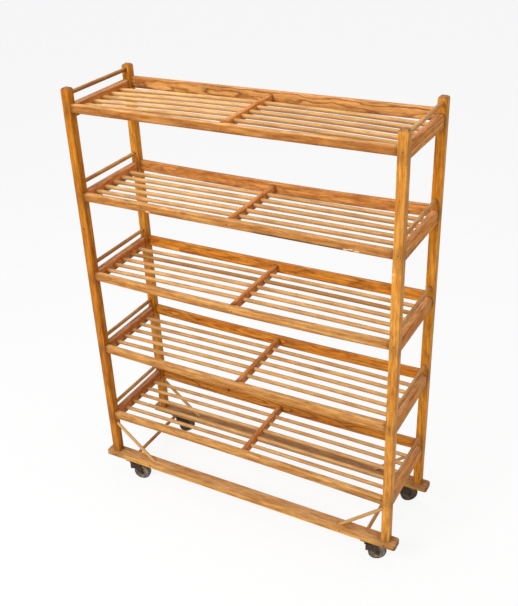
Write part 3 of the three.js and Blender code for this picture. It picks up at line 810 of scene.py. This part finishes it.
makeMarks("railChips", "chip", [chipLow + Vector((x - chipLow.x, 0, rise)) for x, rise in
                                ((0.464, 0.0045), (0.482, 0.0075), (0.503, 0.005), (-0.334, 0.005))])
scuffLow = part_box("post_front_right")[0]
makeMarks("postScuff", "scuff", [Vector((scuffLow.x + 0.0055, scuffLow.y, sillHigh.z + 1.174))])
print("pegs, screws, knots and chips made")


# casters

casterShape = {
    "plateThickness": 0.003,
    "plateCorner": 0.008,
    "raceRadius": 0.027,
    "raceHeight": 0.005,
    "crownRadius": 0.03,
    "crownThickness": 0.004,
    "gap": 0.0003,
    "trail": 0.027,
    "legInside": 0.0144,
    "legThickness": 0.003,
    "legFore": 0.023,
    "legRear": 0.02,
    "legSkirt": 0.034,
    "legSkirtLength": 0.02,
    "legEnd": 0.01,
    "screwRadius": 0.0045,
    "screwHeight": 0.0018,
    "screwPlaces": (0.029, 0.02),
    "nutRadius": 0.0074,
    "nutHeight": 0.0025,
    "pinNutRadius": 0.0095,
    "pinNutHeight": 0.005,
}
wheelShape = {
    "radius": 0.0375,
    "halfWidth": 0.013,
    "shoulder": 0.0069,  # this round lies inside the 4 mm chamfer of the solid
    "rim": 0.0285,
    "webHalf": 0.007,
    "hub": 0.012,
    "hubHalf": 0.014,
    "bore": 0.0048,
}
# the back casters are darker copies of the front ones: painted shade for the shadow under the rack
ironLook = {"front": {"base": (0.032, 0.021, 0.013), "grime": (0.11, 0.060, 0.028), "metal": 0.5},
            "back": {"base": (0.022, 0.013, 0.008), "grime": (0.085, 0.040, 0.017), "metal": 0.5}}
tyreLook = {"front": {"base": (0.055, 0.048, 0.039), "dusty": (0.165, 0.142, 0.108), "roughness": 0.68},
            "back": {"base": (0.030, 0.022, 0.014), "dusty": (0.085, 0.062, 0.036), "roughness": 0.68}}
coreLook = {"front": {"base": (0.165, 0.135, 0.10), "dusty": (0.35, 0.285, 0.21), "roughness": 0.6},
            "back": {"base": (0.085, 0.060, 0.034), "dusty": (0.18, 0.125, 0.072), "roughness": 0.6}}


def makeIron(name, look):
    material = bpy.data.materials.new(name)
    material.use_nodes = True
    tree = material.node_tree
    shader = tree.nodes["Principled BSDF"]
    place = addNode(tree, "ShaderNodeTexCoord").outputs["Object"]
    grime = stretchedNoise(tree, place, (120, 120, 120), 5, 0.65)
    mask = shaped(tree, grime.outputs["Fac"], [(0.45, 0.0), (0.7, 1.0)])
    tree.links.new(mixColors(tree, mask, look["base"], look["grime"]), shader.inputs["Base Color"])
    shader.inputs["Metallic"].default_value = look["metal"]
    rough = calc(tree, "ADD", calc(tree, "MULTIPLY", grime.outputs["Fac"], 0.3), 0.38)
    tree.links.new(rough, shader.inputs["Roughness"])
    bump = addNode(tree, "ShaderNodeBump")
    bump.inputs["Strength"].default_value = 0.3
    bump.inputs["Distance"].default_value = 0.0003
    tree.links.new(grime.outputs["Fac"], bump.inputs["Height"])
    tree.links.new(bump.outputs[0], shader.inputs["Normal"])
    return material


def makeRubber(name, look):
    material = bpy.data.materials.new(name)
    material.use_nodes = True
    tree = material.node_tree
    shader = tree.nodes["Principled BSDF"]
    place = addNode(tree, "ShaderNodeTexCoord").outputs["Object"]
    dust = stretchedNoise(tree, place, (90, 90, 90), 5, 0.6)
    mask = shaped(tree, dust.outputs["Fac"], [(0.4, 0.0), (0.65, 1.0)])
    tree.links.new(mixColors(tree, mask, look["base"], look["dusty"]), shader.inputs["Base Color"])
    shader.inputs["Roughness"].default_value = look["roughness"]
    shader.inputs["Specular IOR Level"].default_value = 0.3
    bump = addNode(tree, "ShaderNodeBump")
    bump.inputs["Strength"].default_value = 0.25
    bump.inputs["Distance"].default_value = 0.0004
    tree.links.new(dust.outputs["Fac"], bump.inputs["Height"])
    tree.links.new(bump.outputs[0], shader.inputs["Normal"])
    return material


def jointNamed(name):
    return next(joint for joint in frame["joints"] if joint["name"] == name)


def hexNut(radius, height):
    bm = bmesh.new()
    bmesh.ops.create_cone(bm, cap_ends=True, segments=6, radius1=radius, radius2=radius, depth=height)
    roundEdges(bm, list(bm.edges), 0.0004, 2)
    return bm


def forkLeg(side, crownLow, axle):
    s = casterShape
    y = side * s["legInside"]
    top = crownLow + s["crownThickness"] / 2
    rear = Vector((s["legRear"], y, top))
    fore = Vector((-s["legFore"], y, crownLow - s["legSkirt"]))
    notch = fore + axisX * s["legSkirtLength"]
    middle = Vector((axle.x, y, axle.z))
    outline = [rear, Vector((fore.x, y, top)), fore, notch]
    start = math.atan2(notch.z - middle.z, notch.x - middle.x) + math.acos(s["legEnd"] / (notch - middle).length)
    finish = math.atan2(rear.z - middle.z, rear.x - middle.x) - math.acos(s["legEnd"] / (rear - middle).length)
    finish += 2 * math.pi
    steps = 12
    for step in range(steps + 1):
        angle = start + (finish - start) * step / steps
        outline.append(middle + Vector((math.cos(angle), 0, math.sin(angle))) * s["legEnd"])
    leg = bmesh.new()
    face = leg.faces.new([leg.verts.new(point) for point in outline])
    grown = bmesh.ops.extrude_face_region(leg, geom=[face])["geom"]
    verts = [item for item in grown if isinstance(item, bmesh.types.BMVert)]
    bmesh.ops.translate(leg, vec=(0, side * s["legThickness"], 0), verts=verts)
    bmesh.ops.recalc_face_normals(leg, faces=leg.faces)
    roundEdges(leg, sharpEdges(leg), 0.0006, 2)
    return leg


def makeCasterPlate(corner, title, pin):
    s = casterShape
    iron = casterIron[corner.split("_")[0]]
    low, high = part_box(f"caster_plate_{corner}")
    raceTop = high.z - s["plateThickness"]
    raceLow = raceTop - s["raceHeight"]
    bm = boxBetween(Vector((low.x, low.y, raceTop)), high)
    roundEdges(bm, edgesAlong(bm, axisZ), s["plateCorner"], 5)
    roundEdges(bm, sharpEdges(bm), 0.0005, 2)
    r = s["raceRadius"]
    race = turnedShape([Vector(point) for point in (
        (0, 0, raceLow), (r - 0.0025, 0, raceLow), (r - 0.0008, 0, raceLow + 0.0008),
        (r, 0, raceLow + 0.0025), (r, 0, raceTop + 0.001))], axisZ, 40)
    bmesh.ops.translate(race, vec=(pin.x, pin.y, 0), verts=race.verts)
    addShape(bm, race)
    r, h = s["screwRadius"], s["screwHeight"]
    for sideX in (-1, 1):
        for sideY in (-1, 1):
            screw = turnedShape([Vector(point) for point in (
                (0, 0, -h), (0.45 * r, 0, -0.92 * h), (0.8 * r, 0, -0.6 * h), (r, 0, 0), (r, 0, 0.001))], axisZ, 20)
            x, y = s["screwPlaces"]
            bmesh.ops.translate(screw, vec=(pin.x + sideX * x, pin.y + sideY * y, raceTop), verts=screw.verts)
            addShape(bm, screw)
    finishPiece(f"casterPlate{title}", bm, iron, "frame", [f"caster_plate_{corner}"])
    return raceLow


def makeCaster(corner):
    title = corner.title().replace("_", "")
    end = corner.split("_")[0]
    pin = Vector(jointNamed(f"swivel_{corner}")["pos_m"])
    rollAxis = Vector(jointNamed(f"roll_{corner}")["axis"])
    turn = math.atan2(-rollAxis.x, rollAxis.y)
    stand = Matrix.Translation((pin.x, pin.y, 0)) @ Matrix.Rotation(turn, 4, "Z")
    s, w = casterShape, wheelShape
    raceLow = makeCasterPlate(corner, title, pin)

    # fork: crown, two legs and the axle with its nuts
    crownTop = raceLow - s["gap"]
    crownLow = crownTop - s["crownThickness"]
    r = s["crownRadius"]
    bm = turnedShape([Vector(point) for point in (
        (0, 0, crownLow), (r - 0.002, 0, crownLow), (r - 0.0006, 0, crownLow + 0.0006),
        (r, 0, crownLow + 0.002), (r, 0, crownTop - 0.0005), (r - 0.0005, 0, crownTop), (0, 0, crownTop))], axisZ, 40)
    axle = Vector((s["trail"], 0, w["radius"]))
    lying = Matrix.Rotation(math.pi / 2, 3, "X")
    for side in (-1, 1):
        addShape(bm, forkLeg(side, crownLow, axle))
        nut = hexNut(s["nutRadius"], s["nutHeight"])
        bmesh.ops.rotate(nut, cent=(0, 0, 0), matrix=lying, verts=nut.verts)
        out = s["legInside"] + s["legThickness"] + s["nutHeight"] / 2
        bmesh.ops.translate(nut, vec=(axle.x, side * out, axle.z), verts=nut.verts)
        addShape(bm, nut)
    pinNut = hexNut(s["pinNutRadius"], s["pinNutHeight"])
    bmesh.ops.translate(pinNut, vec=(0, 0, crownLow - s["pinNutHeight"] / 2), verts=pinNut.verts)
    addShape(bm, pinNut)
    reach = axisY * s["legInside"]
    addShape(bm, roundBar(axle - reach, axle + reach, 0.0045, sides=20, cuts=1))
    bmesh.ops.transform(bm, matrix=stand, verts=bm.verts)
    finishPiece(f"casterFork{title}", bm, casterIron[end], f"caster_{corner}",
                [f"caster_fork_{corner}"])

    # wheel: a rubber tyre on a paler core
    rim, half, r, sh = w["rim"], w["halfWidth"], w["radius"], w["shoulder"]
    tyre = [(rim, half - 0.002), (rim + 0.0015, half)]
    for step in range(6):
        turned = step / 5 * math.pi / 2
        tyre.append((r - sh + sh * math.sin(turned), half - sh + sh * math.cos(turned)))
    core = [(w["bore"], w["hubHalf"]), (w["hub"] - 0.001, w["hubHalf"]), (w["hub"], w["hubHalf"] - 0.001),
            (w["hub"] + 0.0015, w["webHalf"]), (rim - 0.0035, w["webHalf"]), (rim - 0.002, half - 0.001),
            (rim, half - 0.001)]
    for name, outline, material, nodes in (("casterTyre", tyre, tyreRubber[end], [f"caster_wheel_{corner}"]),
                                           ("casterCore", core, wheelCore[end], [])):
        profile = [Vector((radius, y, 0)) for radius, y in outline]
        profile += [Vector((radius, -y, 0)) for radius, y in reversed(outline)]
        bm = turnedShape(profile, axisY, 64, closed=True)
        bmesh.ops.translate(bm, vec=axle, verts=bm.verts)
        bmesh.ops.transform(bm, matrix=stand, verts=bm.verts)
        finishPiece(name + title, bm, material, f"wheel_{corner}", nodes)


casterIron = {end: makeIron(end + "Iron", look) for end, look in ironLook.items()}
tyreRubber = {end: makeRubber(end + "Tyre", look) for end, look in tyreLook.items()}
wheelCore = {end: makeRubber(end + "Core", look) for end, look in coreLook.items()}
for corner in corners:
    makeCaster(corner)
print("casters made")


# floor, light and camera

floorLook = {"color": (0.95, 0.95, 0.95, 1), "seenWhite": 0.88}
worldLook = {"color": (1.0, 0.985, 0.96, 1), "strength": 0.38}


def seenRays(tree):  # rays that show the background rather than light the object
    rays = addNode(tree, "ShaderNodeLightPath")
    seen = calc(tree, "ADD", rays.outputs["Is Camera Ray"], rays.outputs["Is Glossy Ray"], True)
    return calc(tree, "ADD", seen, rays.outputs["Is Transmission Ray"], True)


def makeFloor():
    bm = bmesh.new()
    bmesh.ops.create_grid(bm, x_segments=1, y_segments=1, size=12)
    mesh = bpy.data.meshes.new("floor")
    bm.to_mesh(mesh)
    bm.free()
    floor = bpy.data.objects.new("floor", mesh)
    bpy.context.scene.collection.objects.link(floor)
    material = bpy.data.materials.new("paleFloor")
    material.use_nodes = True
    tree = material.node_tree
    tree.nodes.remove(tree.nodes["Principled BSDF"])
    matte = addNode(tree, "ShaderNodeBsdfDiffuse")
    matte.inputs["Color"].default_value = floorLook["color"]
    glow = addNode(tree, "ShaderNodeEmission")
    glow.inputs["Strength"].default_value = 1.0
    mix = addNode(tree, "ShaderNodeMixShader")
    tree.links.new(calc(tree, "MULTIPLY", seenRays(tree), floorLook["seenWhite"]), mix.inputs[0])
    tree.links.new(matte.outputs[0], mix.inputs[1])
    tree.links.new(glow.outputs[0], mix.inputs[2])
    tree.links.new(mix.outputs[0], tree.nodes["Material Output"].inputs["Surface"])
    mesh.materials.append(material)


def makeWorld():
    world = bpy.data.worlds.new("studio")
    bpy.context.scene.world = world
    world.use_nodes = True
    tree = world.node_tree
    soft = tree.nodes["Background"]
    soft.inputs["Color"].default_value = worldLook["color"]
    soft.inputs["Strength"].default_value = worldLook["strength"]
    white = addNode(tree, "ShaderNodeBackground")
    white.inputs["Color"].default_value = (1, 1, 1, 1)
    white.inputs["Strength"].default_value = 1.0
    mix = addNode(tree, "ShaderNodeMixShader")
    tree.links.new(seenRays(tree), mix.inputs[0])
    tree.links.new(soft.outputs[0], mix.inputs[1])
    tree.links.new(white.outputs[0], mix.inputs[2])
    tree.links.new(mix.outputs[0], tree.nodes["World Output"].inputs["Surface"])


def addLamp(name, lamp):
    light = bpy.data.lights.new(name, "AREA")
    light.shape = "SQUARE"
    light.size = lamp["size"]
    light.energy = lamp["power"]
    holder = bpy.data.objects.new(name, light)
    bpy.context.scene.collection.objects.link(holder)
    holder.location = lamp["place"]
    holder.rotation_euler = (Vector(lamp["aim"]) - Vector(lamp["place"])).to_track_quat("-Z", "Y").to_euler()


lamps = {
    "keyLamp": {"place": (-0.9, -3.6, 3.4), "aim": (0, 0, 0.9), "size": 2.0, "power": 150},
    "topLamp": {"place": (0.2, 0.2, 4.4), "aim": (0, 0, 0.8), "size": 2.4, "power": 60},
    "sideLamp": {"place": (3.6, -1.0, 2.2), "aim": (0, 0, 0.9), "size": 2.0, "power": 14},
}
cameraView = {
    "place": (1.4805, -2.6047, 2.6083),
    "right": (0.88055161, 0.47252505, -0.03672805),
    "up": (-0.20162049, 0.44359586, 0.87325362),
    "ahead": (-0.42892662, 0.76153975, -0.48587978),
    "lens": 51.446,
    "sensor": 36.0,
}

makeFloor()
makeWorld()
for name, lamp in lamps.items():
    addLamp(name, lamp)
camera = bpy.data.cameras.new("photoCamera")
camera.sensor_fit = "VERTICAL"
camera.sensor_height = cameraView["sensor"]
camera.lens = cameraView["lens"]
viewer = bpy.data.objects.new("photoCamera", camera)
bpy.context.scene.collection.objects.link(viewer)
turn = Matrix((cameraView["right"], cameraView["up"], -Vector(cameraView["ahead"]))).transposed().to_4x4()
viewer.matrix_world = Matrix.Translation(cameraView["place"]) @ turn
bpy.context.scene.camera = viewer
bpy.context.scene.view_settings.view_transform = "Standard"
print("studio ready")
